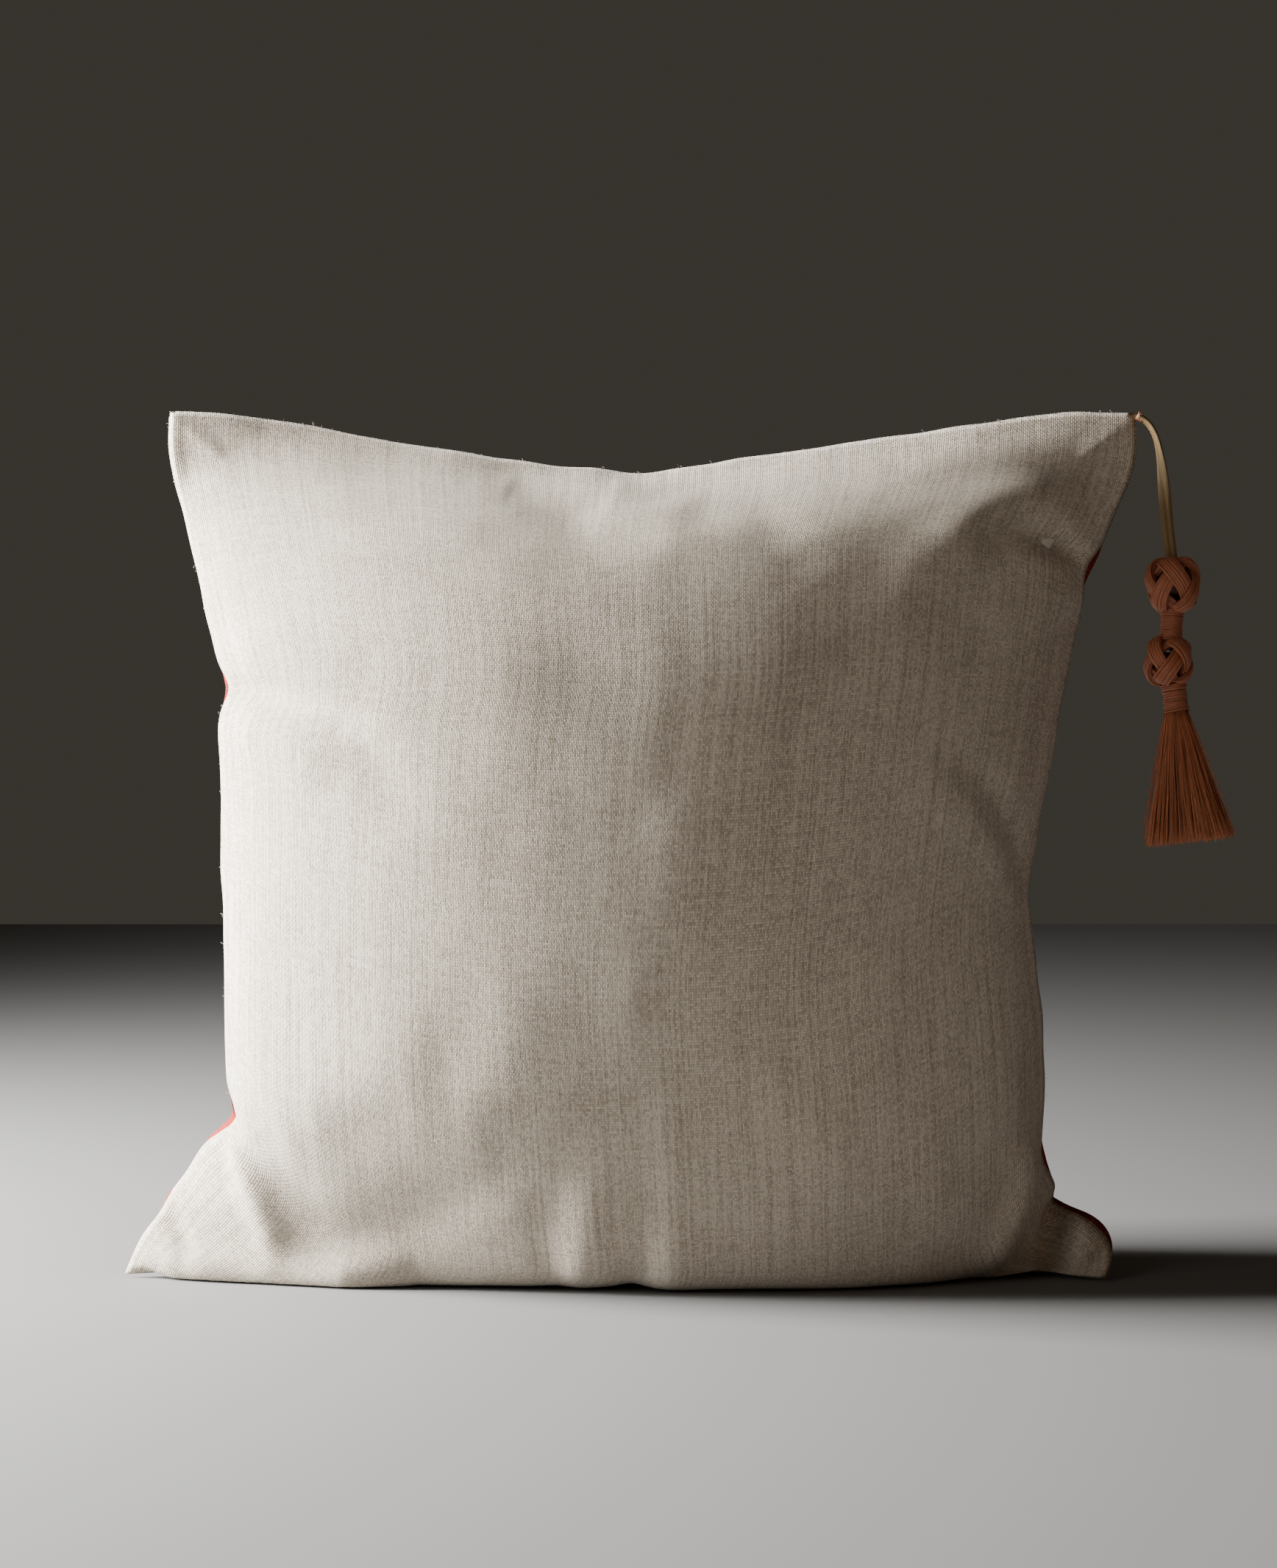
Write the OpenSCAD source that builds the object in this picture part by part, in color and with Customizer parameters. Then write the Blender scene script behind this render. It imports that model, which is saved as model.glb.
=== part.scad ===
// Square linen cushion that stands on its base, with a concealed zip and a corner tassel.
// Millimetres. +X runs along the zip, -Y is the linen side and +Z is up.
// The origin is on the floor, under the middle of the cushion.

/* [Cushion] */
// Half of the distance between the two top corners
top_half = 219.5; // [205:0.5:230]
// Half of the distance between the two bottom corners
base_half = 222.5; // [205:0.5:230]
// How far the top corners sit to the right of the middle
top_shift = 10; // [0:1:15]
// How far the bottom corners sit to the left of the middle
base_shift = 7; // [0:1:15]
// Height of the top corners above the floor
height = 391; // [370:1:410]
// How far the middle of the top seam sinks below its corners
top_sag = 27; // [10:1:40]
// How far each side seam pulls in between its corners
waist = 37; // [10:1:45]
// Thickness of the stuffed cushion
depth = 156; // [120:1:170]
// Height that the filling's weight flattens at the base
sink = 26; // [16:1:34]

/* [Cloth] */
// Thickness of the linen and of the red cloth
cloth = 0.8; // [0.6:0.1:1.2]
// Width of the seam allowance inside the cover
allowance = 12; // [8:1:14]
// Thickness of the inner pad's casing
casing = 0.5; // [0.4:0.1:0.7]
// Gap between the cover's seam and the pad's seam
pad_gap = 16; // [15:1:20]
// Gap between the cover's faces and the pad's faces
pad_slack = 4.5; // [4:0.5:6]

/* [Zip] */
// Travel of the slider from closed to open
zip_travel = 320; // [250:5:330]
// Half of the slot between the two cloth edges
slot_half = 6; // [5.5:0.5:7]
// Height of the base seam above the floor
ridge = 9; // [8:0.5:10]
// Distance between the zip's teeth
tooth_pitch = 2; // [1.6:0.2:3]
// Length of the pull tab
tab_length = 20; // [16:1:24]

/* [Tassel] */
// Width of the doubled hanging cord
cord_width = 5.6; // [5:0.2:6]
// Thickness of the hanging cord
cord_thick = 2.8; // [2.4:0.2:3]
// Radius of the upper knot
upper_radius = 12.6; // [12:0.1:13]
// Radius of the lower knot
lower_radius = 11.3; // [11:0.1:12]
// Radius of the skirt at its cut end
skirt_radius = 20; // [16:0.5:21]
// Length of the skirt
skirt_length = 59; // [50:1:64]

/* [Hidden] */
$fn = 64;

FRONT = -1;
BACK = 1;
// How far the base seam comes down at the corners
corner_drop = 6;
cover_rings = 24;
pad_rings = 16;
pad_allowance = 8;

// One layer of cloth or filling is drawn from these seven values:
// [gap to the cover's seam line, gap to the cover's face, floor, height at the base seam,
//  distance from the middle where the groove starts, and ends, least half thickness of the cover]
fold = 2 * cloth + 0.1;
hem = 2 * casing + 0.1;
cover_out = [0, 0, 0, ridge, slot_half + 2, slot_half + 10, fold];
cover_in = [cloth, cloth, cloth, ridge + cloth, slot_half + 2 - cloth, slot_half + 10 - cloth, fold];
cover_turned = [allowance, 0, 0, ridge + allowance, depth, depth + 1, 0];
pad_out = [pad_gap, pad_slack, pad_slack, 24, 10, 24, hem + pad_slack];
pad_in = [pad_gap + casing, pad_slack + casing, pad_slack + casing, 24 + casing,
    10 - casing, 24 - casing, hem + pad_slack];
pad_turned = [pad_gap + pad_allowance, 0, 0, 24 + pad_allowance, depth, depth + 1, 0];
fill_out = [pad_gap + pad_allowance + 8, pad_slack + 3, pad_slack + 3, 36, 12, 30, pad_slack + 4];

// The hanging cord leaves the top right corner and runs down to the upper knot
corner = [top_shift + top_half, 0, height];
cord_route = [[230, 0, 391], [232.6, 0, 389.8], [235, 0, 387.8], [237, 0, 385], [238.6, 0, 381.4],
    [239.8, 0, 377], [240.8, 0, 371.4], [241.6, 0, 365], [242.3, 0, 358], [242.9, 0, 351],
    [243.5, 0, 344], [244.2, 0, 337], [244.9, 0, 331], [245.4, 0, 326.8]];
// Quarter turns of the flat cord: edge on at the corner, face on at the knot
cord_turn = [90, 90, 90, 85, 75, 60, 42, 24, 10, 2, 0, 0, 0, 0];
knot_top = [245.4, 0, 326.8];
upper_centre = knot_top - [0, 0, upper_radius];
lower_centre = [244, 0, 278];
socket = 4.8;
upper_bead_radius = 6.4;
lower_bead_radius = 5.6;
neck_radius = 4.9;
neck_bottom = 289;
binding_radius = 5.4;
binding_bottom = 255.5;
skirt_lean = 8;

// Zip: the teeth lie level, just above the slot, and the tab hangs in the groove below
tooth_z = ridge + 1.5;
zip_end = 165;
zip_start = zip_end - zip_travel;
tape_thick = 0.6;
tape_over = 5;
slider_length = 11;
slider_half = 3.9;
plate = 1;
plate_gap = 1.5;
web_half = 0.3;
pin_z = tooth_z - plate_gap - plate - 2;
pin_radius = 0.6;
running_gap = 0.3;

linen = [0.71, 0.68, 0.62];
red = [0.66, 0.22, 0.17];
calico = [0.93, 0.91, 0.86];
down = [0.97, 0.96, 0.93];
tape_cloth = [0.69, 0.66, 0.60];
steel = [0.72, 0.72, 0.73];
mustard = [0.55, 0.42, 0.22];
copper_silk = [0.70, 0.33, 0.18];
wood = [0.76, 0.60, 0.42];

function mix(a, b, t) = a + (b - a) * t;
function step(low, high, t) = let (s = min(1, max(0, (t - low) / (high - low)))) s * s * (3 - 2 * s);
// Rows lie closer together towards the seams, where the cloth curves most
function row(i, n) = let (t = 2 * i / n - 1) 0.4 * t + 0.6 * sin(90 * t);
// The larger of two values, rounded over where they meet
function soft_max(a, b, width) = let (h = max(0, width - abs(a - b)) / width) max(a, b) + h * h * width / 4;

// The side seams pull in gently below the top corners and sharply above the base ones
function pull_in(v) = 1 - pow(abs(v), v > 0 ? 1.6 : 4);
function seam_half(v) = mix(base_half, top_half, (1 + v) / 2) - waist * pull_in(v);
function seam_shift(v) = mix(-base_shift, top_shift, (1 + v) / 2);
function seam_top(u) = height - top_sag * (1 - u * u);
// Half of the slot that the zip sits in: open along the base seam, closed at its ends
function slot(u, v, k) = v < 0 && k[0] <= allowance ? slot_half * pow(-v, 8) * (1 - step(0.86, 0.95, abs(u))) : 0;

// A point of one layer: u runs from the left seam to the right, v from the base to the top
function cloth_point(side, u, v, k) =
    let (
        gap = slot(u, v, k),
        half_depth = depth / 2 * pow(1 - pow(abs(u), 2.4), 0.6),
        y = gap + max(k[6], (half_depth - gap) * pow(cos(90 * v), v > 0 ? 0.8 : 0.6)) - k[1],
        top = seam_top(u) - k[0],
        belly = (top + sink) * pow((1 + sin(90 * v)) / 2, 1.12) - sink,
        base = k[3] - corner_drop * pow(abs(u), 6),
        edge = mix(base, top, (1 + v) / 2),
        ground = mix(base, k[2], step(k[4], k[5], y)),
        z = soft_max(ground, mix(belly, edge, pow(abs(u), 3)), 10)
    )
    [seam_shift(v) + (seam_half(v) - k[0]) * u, side * y, z];

// The seam's own grid positions, once round
function seam_cells(n) = concat([for (i = [0:n - 1]) [i, 0]], [for (j = [0:n - 1]) [n, j]],
    [for (i = [n:-1:1]) [i, n]], [for (j = [n:-1:1]) [0, j]]);
function layer(side, k, n) = [for (j = [0:n]) for (i = [0:n]) cloth_point(side, row(i, n), row(j, n), k)];
// A ring along the seam, off a set distance from the middle plane
function ring(side, k, n, off) = [for (c = seam_cells(n))
    let (u = row(c[0], n), v = row(c[1], n), p = cloth_point(side, u, v, k)) [p[0], side * (off + slot(u, v, k)), p[2]]];

function two(a, b, c, d, flip) = flip ? [[a, c, b], [a, d, c]] : [[a, b, c], [a, c, d]];
function layer_faces(from, n, flip) = [for (j = [0:n - 1]) for (i = [0:n - 1])
    let (a = from + j * (n + 1) + i) each two(a, a + 1, a + n + 2, a + n + 1, flip)];
function band_faces(a, b, flip) = [for (i = [0:len(a) - 1])
    let (k = (i + 1) % len(a)) each two(a[i], a[k], b[k], b[i], flip)];
function seam_points(from, n) = [for (c = seam_cells(n)) from + c[1] * (n + 1) + c[0]];
function counted(from, n) = [for (i = [0:n - 1]) from + i];

// One panel of a cover: a shell of cloth whose seam allowance is folded in all round
module panel(side, outer, inner, turned, n, thick) {
    count = (n + 1) * (n + 1);
    rim = 4 * n;
    flip = side == BACK;
    out_rim = seam_points(0, n);
    in_rim = seam_points(count, n);
    fold_edge = counted(2 * count, rim);
    out_cut = counted(2 * count + rim, rim);
    in_cut = counted(2 * count + 2 * rim, rim);
    polyhedron(
        points = concat(layer(side, outer, n), layer(side, inner, n), ring(side, outer, n, 0),
            ring(side, turned, n, 0), ring(side, turned, n, thick)),
        faces = concat(layer_faces(0, n, !flip), layer_faces(count, n, flip),
            band_faces(out_rim, fold_edge, flip), band_faces(fold_edge, out_cut, flip),
            band_faces(out_cut, in_cut, flip), band_faces(in_cut, in_rim, flip)));
}

module linen_panel() { color(linen) panel(FRONT, cover_out, cover_in, cover_turned, cover_rings, cloth); }
module red_panel() { color(red) panel(BACK, cover_out, cover_in, cover_turned, cover_rings, cloth); }
module pad_case_front() { color(calico) panel(FRONT, pad_out, pad_in, pad_turned, pad_rings, casing); }
module pad_case_back() { color(calico) panel(BACK, pad_out, pad_in, pad_turned, pad_rings, casing); }

// The filling: both faces joined by a narrow band along the seam
module pad_filling() {
    n = pad_rings;
    count = (n + 1) * (n + 1);
    color(down) polyhedron(
        points = concat(layer(FRONT, fill_out, n), layer(BACK, fill_out, n)),
        faces = concat(layer_faces(0, n, true), layer_faces(count, n, false),
            band_faces(seam_points(0, n), seam_points(count, n), false)));
}

module along_x(from, to) {
    translate([from, 0, 0]) rotate([90, 0, 90]) linear_extrude(height = to - from) children();
}

// A tape runs level from the teeth to the slot's edge, then up beside the allowance
module zip_tape(side) {
    wall = slot_half - running_gap / 3;
    color(tape_cloth) along_x(zip_start - tape_over, zip_end + tape_over)
        mirror([side == FRONT ? 1 : 0, 0]) {
            translate([2.6, tooth_z - tape_thick / 2]) square([wall - 2.6, tape_thick]);
            translate([wall - tape_thick, tooth_z - tape_thick / 2]) square([tape_thick, 10]);
        }
}

// A comb of teeth on one spine; a thin slot is left in the middle for the slider's wedge
module zip_teeth(side) {
    teeth = floor(zip_travel / tooth_pitch);
    start = zip_start + slider_length / 2;
    color(tape_cloth) translate([0, 0, tooth_z - 1]) linear_extrude(height = 2)
        mirror([0, side == FRONT ? 1 : 0]) {
            translate([start, 1.8]) square([teeth * tooth_pitch, 0.8]);
            for (i = [0:teeth - 1])
                translate([start + i * tooth_pitch + (side == FRONT ? 0 : tooth_pitch / 2), 0.6])
                    square([tooth_pitch * 0.5, 1.4]);
        }
}

module zip_top_stops() {
    color(steel) for (side = [FRONT, BACK])
        translate([zip_end + slider_length / 2 + 1, side * 1.75, tooth_z]) rotate([0, 90, 0])
            cylinder(h = 2, r = 0.85);
}

module zip_bottom_stop() {
    color(steel) translate([zip_start - slider_length / 2 - 2, -2.5, tooth_z - 1.2]) cube([1.6, 5, 2.4]);
}

// Two plates with turned flanges, joined by a thin wedge between the teeth
module zip_slider() {
    length = slider_length;
    flange = plate_gap - 0.8;
    color(steel) translate([zip_end, 0, tooth_z]) {
        for (side = [-1, 1]) {
            translate([-length / 2, -slider_half, side > 0 ? plate_gap : -plate_gap - plate])
                cube([length, 2 * slider_half, plate]);
            for (edge = [-1, 1])
                translate([-length / 2, edge > 0 ? slider_half - 0.6 : -slider_half,
                        side > 0 ? 0.8 : -plate_gap])
                    cube([length, 0.6, flange]);
        }
        translate([-length / 2, -web_half, -plate_gap]) cube([3, 2 * web_half, 2 * plate_gap]);
    }
    // Two ears under the lower plate carry the pull tab's pin
    color(steel) translate([zip_end, 0, 0]) {
        for (edge = [-1, 1]) translate([0, edge * 3.2, pin_z]) rotate([90, 0, 0]) {
            cylinder(h = 0.8, r = 1.4, center = true);
            translate([-1.4, 0, -0.4]) cube([2.8, 2, 0.8]);
        }
        translate([0, 0, pin_z]) rotate([90, 0, 0]) cylinder(h = 6.4, r = pin_radius, center = true);
    }
}

// A flat tab with a round eye that turns on the slider's pin
module zip_pull_tab() {
    eye = pin_radius + 0.05;
    color(steel) translate([zip_end, 0, pin_z]) difference() {
        union() {
            rotate([90, 0, 0]) cylinder(h = 4.4, r = 1.3, center = true);
            translate([-tab_length + 2.6, -2.2, -0.5]) cube([tab_length - 2.6, 4.4, 1]);
            translate([-tab_length + 2.6, 0, -0.5]) cylinder(h = 1, r = 2.6);
        }
        rotate([90, 0, 0]) cylinder(h = 6, r = eye, center = true);
        translate([-tab_length + 2.6, 0, -1]) cylinder(h = 2, r = 1.2);
    }
}

// The end of the cord, sewn flat between the two cloths and pointing into the corner
module cord_tail() {
    color(mustard) translate(corner) rotate([90, 0, 0]) linear_extrude(height = 1.2, center = true)
        rotate(225) polygon([[0.6, -0.3], [0.6, 0.3], [4.5, 2.3], [18, 2.3], [18, -2.3], [4.5, -2.3]]);
}

// A ring of the cord's flat section, square to its route
function route_way(i) = let (n = len(cord_route) - 1, d = cord_route[min(n, i + 1)] - cord_route[max(0, i - 1)])
    d / norm(d);
function route_ring(i, sides) = let (way = route_way(i), across = [way[2], 0, -way[0]], t = cord_turn[i])
    [for (k = [0:sides - 1]) let (a = 360 * (k + 0.5) / sides,
            wide = cord_width / 2 * cos(a), thin = cord_thick / 2 * sin(a))
        cord_route[i] + across * (wide * cos(t) - thin * sin(t)) + [0, wide * sin(t) + thin * cos(t), 0]];

module hanging_cord() {
    sides = 10;
    last = len(cord_route) - 1;
    color(mustard) polyhedron(
        points = [for (i = [0:last]) each route_ring(i, sides)],
        faces = concat([counted(0, sides)], [[for (k = [sides - 1:-1:0]) last * sides + k]],
            [for (i = [0:last - 1]) for (k = [0:sides - 1]) let (m = (k + 1) % sides)
                each two(i * sides + k, (i + 1) * sides + k, (i + 1) * sides + m, i * sides + m, false)]));
}

// Thread wound round the cord just outside the corner
module cord_whipping() {
    color(copper_silk) for (turn = [0:1])
        translate([231 + turn, 0, 390.5 - 0.5 * turn]) rotate([0, 115, 0])
            rotate_extrude() translate([cord_width / 2 + 0.55, 0]) circle(r = 0.45);
}

// A knot tied round a bead; the upper one has a socket that the cord runs down into
module knot(centre, radius, bead) {
    color(copper_silk) difference() {
        translate(centre) sphere(r = radius);
        translate(centre) sphere(r = bead + 0.1);
    }
}
module upper_knot() {
    color(copper_silk) difference() {
        knot(upper_centre, upper_radius, upper_bead_radius);
        translate(knot_top) sphere(r = socket);
    }
}
module lower_knot() { knot(lower_centre, lower_radius, lower_bead_radius); }
module upper_bead() {
    color(wood) difference() {
        translate(upper_centre) sphere(r = upper_bead_radius);
        translate(upper_centre) cylinder(h = 20, r = 1.5, center = true);
    }
}
module lower_bead() {
    color(wood) difference() {
        translate(lower_centre) sphere(r = lower_bead_radius);
        translate(lower_centre) cylinder(h = 20, r = 1.5, center = true);
    }
}

// Thread wound tight between the knots, shaped to both of them
module neck_binding() {
    color(copper_silk) difference() {
        translate([245.4, 0, neck_bottom - 3]) cylinder(h = 18, r = neck_radius);
        translate(upper_centre) sphere(r = upper_radius);
        translate(lower_centre) sphere(r = lower_radius);
    }
}
module skirt_binding() {
    color(copper_silk) difference() {
        translate([lower_centre[0], 0, binding_bottom]) cylinder(h = 16, r = binding_radius);
        translate(lower_centre) sphere(r = lower_radius);
    }
}
module skirt() {
    color(copper_silk) difference() {
        translate([lower_centre[0], 0, binding_bottom + 1]) rotate([0, 180 - skirt_lean, 0])
            cylinder(h = skirt_length, r1 = binding_radius + 0.6, r2 = skirt_radius);
        translate([lower_centre[0], 0, binding_bottom]) cylinder(h = 20, r = 30);
    }
}

linen_panel();
red_panel();
pad_case_front();
pad_case_back();
pad_filling();
zip_tape(FRONT);  // zip_tape_front
zip_tape(BACK);  // zip_tape_back
zip_teeth(FRONT);  // zip_teeth_front
zip_teeth(BACK);  // zip_teeth_back
zip_top_stops();
zip_bottom_stop();
zip_slider();
zip_pull_tab();
cord_tail();
hanging_cord();
cord_whipping();
upper_knot();
upper_bead();
neck_binding();
lower_knot();
lower_bead();
skirt_binding();
skirt();
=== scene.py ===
"""The looks of a square linen cushion with a red back, a concealed zip and a corner tassel."""
import math
import random

import bmesh
import bpy
import numpy as np
from mathutils import Matrix, Vector


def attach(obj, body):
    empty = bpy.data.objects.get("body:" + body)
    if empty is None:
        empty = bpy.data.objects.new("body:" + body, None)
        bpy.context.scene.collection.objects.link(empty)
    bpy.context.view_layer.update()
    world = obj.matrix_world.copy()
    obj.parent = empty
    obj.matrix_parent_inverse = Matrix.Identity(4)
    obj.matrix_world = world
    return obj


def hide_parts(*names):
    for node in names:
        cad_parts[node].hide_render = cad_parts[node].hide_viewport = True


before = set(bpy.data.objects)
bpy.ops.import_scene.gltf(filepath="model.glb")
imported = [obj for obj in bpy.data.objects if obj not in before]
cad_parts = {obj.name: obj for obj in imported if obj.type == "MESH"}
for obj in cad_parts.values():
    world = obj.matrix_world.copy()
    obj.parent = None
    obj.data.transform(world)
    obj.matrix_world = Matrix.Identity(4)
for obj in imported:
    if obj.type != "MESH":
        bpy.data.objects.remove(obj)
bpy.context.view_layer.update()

# ---------------------------------------------------------------- camera and light

def make_camera():
    camera = bpy.data.cameras.new("camera")
    camera.lens = 60.5
    camera.sensor_width = 36
    holder = bpy.data.objects.new("camera", camera)
    bpy.context.collection.objects.link(holder)
    holder.location = (0.003, -1.2, 0.2235)
    holder.rotation_euler = (math.radians(90), 0, 0)
    bpy.context.scene.camera = holder


def make_light(name, place, target, size, power, colour):
    lamp = bpy.data.lights.new(name, "AREA")
    lamp.shape = "RECTANGLE"
    lamp.size, lamp.size_y = size
    lamp.energy = power
    lamp.color = colour
    holder = bpy.data.objects.new(name, lamp)
    bpy.context.collection.objects.link(holder)
    holder.location = place
    holder.rotation_euler = (Vector(target) - Vector(place)).to_track_quat("-Z", "Y").to_euler()


def make_studio():
    make_light("window", (-1.1, 0.035, 0.52), (0.0, 0.0, 0.2), (0.42, 0.9), 162, (1.0, 0.99, 0.97))
    make_light("left_fill", (-1.5, -1.3, 0.8), (0.0, 0.0, 0.2), (1.2, 1.0), 6, (1.0, 0.96, 0.9))
    make_light("warm_fill", (1.6, -2.2, 1.2), (0.0, 0.0, 0.2), (2.0, 1.5), 2.7, (1.0, 0.47, 0.2))
    world = bpy.data.worlds.new("studio")
    world.use_nodes = True
    world.node_tree.nodes["Background"].inputs["Color"].default_value = (0.046, 0.041, 0.034, 1)
    world.node_tree.nodes["Background"].inputs["Strength"].default_value = 1.0
    bpy.context.scene.world = world


make_camera()

# ---------------------------------------------------------------- shader maths

class Value:
    """A shader socket that takes part in Python expressions."""

    def __init__(self, tree, socket):
        self.tree, self.socket = tree, socket

    def maths(self, kind, *others):
        node = self.tree.nodes.new("ShaderNodeMath")
        node.operation = kind
        for at, item in enumerate((self, *others)):
            if isinstance(item, Value):
                self.tree.links.new(item.socket, node.inputs[at])
            else:
                node.inputs[at].default_value = item
        return Value(self.tree, node.outputs[0])

    def __add__(self, other):
        return self.maths("ADD", other)

    __radd__ = __add__

    def __mul__(self, other):
        return self.maths("MULTIPLY", other)

    __rmul__ = __mul__

    def __sub__(self, other):
        return self.maths("SUBTRACT", other)

    def __rsub__(self, other):
        return (self * -1) + other

    def sine(self):
        return self.maths("SINE")

    def wave(self, pitch):
        return (self * (2 * math.pi / pitch)).sine()

    def clamped(self):
        return self.maths("MINIMUM", 1.0).maths("MAXIMUM", 0.0)


class Finish:
    """A material and its nodes, made by name, settings and socket values."""

    def __init__(self, name, **constants):
        self.material = bpy.data.materials.new(name)
        self.material.use_nodes = True
        self.tree = self.material.node_tree
        self.shader = self.tree.nodes["Principled BSDF"]
        for socket, value in constants.items():
            self.shader.inputs[socket.replace("_", " ")].default_value = value

    def node(self, kind, settings=None, inputs=None, output=0):
        node = self.tree.nodes.new("ShaderNode" + kind)
        settings = dict(settings or {})
        stops = settings.pop("stops", None)
        for key, value in settings.items():
            setattr(node, key, value)
        if stops:
            ramp = node.color_ramp
            for at, (place, colour) in enumerate(stops):
                stop = ramp.elements[at] if at < 2 else ramp.elements.new(place)
                stop.position, stop.color = place, (*colour, 1)
        for key, value in (inputs or {}).items():
            socket = node.inputs[key]
            if isinstance(value, Value):
                self.tree.links.new(value.socket, socket)
            else:
                socket.default_value = value
        return Value(self.tree, node.outputs[output])

    def parts(self, vector):
        split = self.tree.nodes.new("ShaderNodeSeparateXYZ")
        self.tree.links.new(vector.socket, split.inputs[0])
        return [Value(self.tree, s) for s in split.outputs]

    def mix(self, factor, a, b, blend="MIX"):
        def colour(c):
            return c if isinstance(c, Value) else (*c, 1)
        return self.node("Mix", {"data_type": "RGBA", "blend_type": blend},
                         {0: factor, 6: colour(a), 7: colour(b)}, 2)

    def noise(self, vector, scale, detail=2.0, rough=0.5, output=0):
        return self.node("TexNoise", {}, {"Vector": vector, "Scale": scale, "Detail": detail,
                                          "Roughness": rough}, output)

    def stretch(self, vector, scale):
        return self.node("Mapping", {}, {"Vector": vector, "Scale": scale})

    def joined(self, x, y, z):
        return self.node("CombineXYZ", {}, {"X": x, "Y": y, "Z": z})

    def place(self):
        return self.node("TexCoord", {}, {}, 3)

    def cloth_map(self, name):
        return self.node("UVMap", {"uv_map": name})

    def feed(self, socket, value):
        self.tree.links.new(value.socket, self.shader.inputs[socket])

    def bump(self, height, strength, distance):
        raised = self.node("Bump", {}, {"Height": height, "Strength": strength, "Distance": distance})
        self.feed("Normal", raised)

    def coat(self, tone, dark, light, *relief):
        """A colour from dark to light by tone, over a relief of height, strength and distance."""
        self.feed("Base Color", self.mix(tone, dark, light))
        self.bump(*relief)
        return self.material


def piece_from(name, bm, material):
    """The shape as an object of its own, in its finish."""
    mesh = bpy.data.meshes.new(name)
    bm.to_mesh(mesh)
    bm.free()
    mesh.materials.append(material)
    piece = bpy.data.objects.new(name, mesh)
    bpy.context.collection.objects.link(piece)
    return piece


# ---------------------------------------------------------------- routes

def run_of(places):
    """How far along its route each place is, in metres."""
    return np.concatenate([[0], np.cumsum(np.linalg.norm(np.diff(places, axis=0), axis=1))])


def at_run(want, run, places):
    """The places at the wanted distances along a route."""
    return np.stack([np.interp(want, run, places[:, k]) for k in range(3)], axis=1)


def evenly(places, count):
    """count + 1 places evenly spaced along a route."""
    run = run_of(places)
    return at_run(np.linspace(0, run[-1], count + 1), run, places)


def unit(rows):
    return rows / np.linalg.norm(rows, axis=1)[:, None]


def smooth_route(points, count):
    """count + 1 places evenly spaced on a rounded curve through the points, in metres."""
    p = np.array(points, float)
    p = np.vstack([2 * p[0] - p[1], p, 2 * p[-1] - p[-2]])
    dense = []
    for k in range(1, len(p) - 2):
        for t in np.linspace(0, 1, 24, endpoint=False):
            a, b, c, d = p[k - 1], p[k], p[k + 1], p[k + 2]
            dense.append(0.5 * (2 * b + (c - a) * t + (2 * a - 5 * b + 4 * c - d) * t ** 2
                                + (3 * b - a - 3 * c + d) * t ** 3))
    return evenly(np.array(dense + [p[-2]]), count)


# ---------------------------------------------------------------- cushion

CLOTH = 100                     # cells along each side of a panel
CUT = 0.45                     # side of the flat panels
YARN = 0.00088                  # from one yarn to the next
SETTLE_FRAMES = 36
SEAM_ROUNDING = 0.008           # length of seam over which its corners are rounded
PANEL_THICK = 0.0006
CASING_THICK = 0.0005
LOWEST = 0.0009                 # the cloth's outer face stays this far above the floor
ZIP_SLOT = 0.0066               # half the opening that the zip sits in
ZIP_REACH = 0.84                # how far out the opening goes, as a part of the base seam
TURNED_IN = 0.009               # cloth turned up beside the zip
LEFT, RIGHT, TOP, BASE = range(4)

# The seam's path, corner to corner: across, up and away from the middle plane, in metres
SEAM_TOP = [(-0.2095, 0.392, 0), (-0.1913, 0.392, 0), (-0.1464, 0.3866, 0.001), (-0.1089, 0.3786, 0),
            (-0.0717, 0.3729, -0.001), (-0.0415, 0.3682, 0), (-0.0161, 0.3668, 0.001), (-0.004, 0.3648, 0),
            (0.0084, 0.3645, 0), (0.017, 0.3662, -0.001), (0.067, 0.3732, 0), (0.1206, 0.3812, 0.001),
            (0.1742, 0.3893, 0), (0.2027, 0.3923, 0), (0.229, 0.3915, 0)]
SEAM_LEFT = [(-0.2095, 0.392, 0), (-0.2104, 0.376, 0), (-0.206, 0.3554, 0), (-0.1987, 0.325, 0.001),
             (-0.1913, 0.2941, 0), (-0.1876, 0.2794, -0.003), (-0.18, 0.2673, -0.007),
             (-0.1862, 0.259, -0.002), (-0.1878, 0.25, 0), (-0.1862, 0.2288, 0), (-0.1866, 0.1953, 0.001),
             (-0.1856, 0.1618, 0), (-0.1848, 0.1116, -0.001), (-0.1838, 0.087, -0.004),
             (-0.177, 0.0715, -0.009), (-0.1933, 0.0606, -0.003), (-0.2027, 0.0459, 0),
             (-0.2097, 0.0379, 0), (-0.214, 0.0285, -0.002), (-0.2224, 0.0191, -0.004),
             (-0.229, 0.004, -0.006)]
SEAM_RIGHT = [(0.229, 0.3915, 0), (0.2285, 0.3705, 0), (0.2241, 0.3581, 0), (0.2134, 0.333, -0.002),
              (0.2048, 0.3216, -0.007), (0.2044, 0.3062, -0.001), (0.199, 0.2814, 0), (0.192, 0.2422, 0),
              (0.183, 0.195, 0), (0.179, 0.1752, -0.002), (0.1835, 0.145, 0), (0.1869, 0.1116, 0),
              (0.1872, 0.0781, -0.002), (0.1845, 0.0531, -0.008), (0.192, 0.043, -0.004),
              (0.1935, 0.036, 0.002), (0.192, 0.0298, 0.006), (0.206, 0.0265, 0), (0.2145, 0.0195, -0.005),
              (0.2168, 0.0125, -0.011), (0.212, 0.0045, -0.018)]
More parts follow.
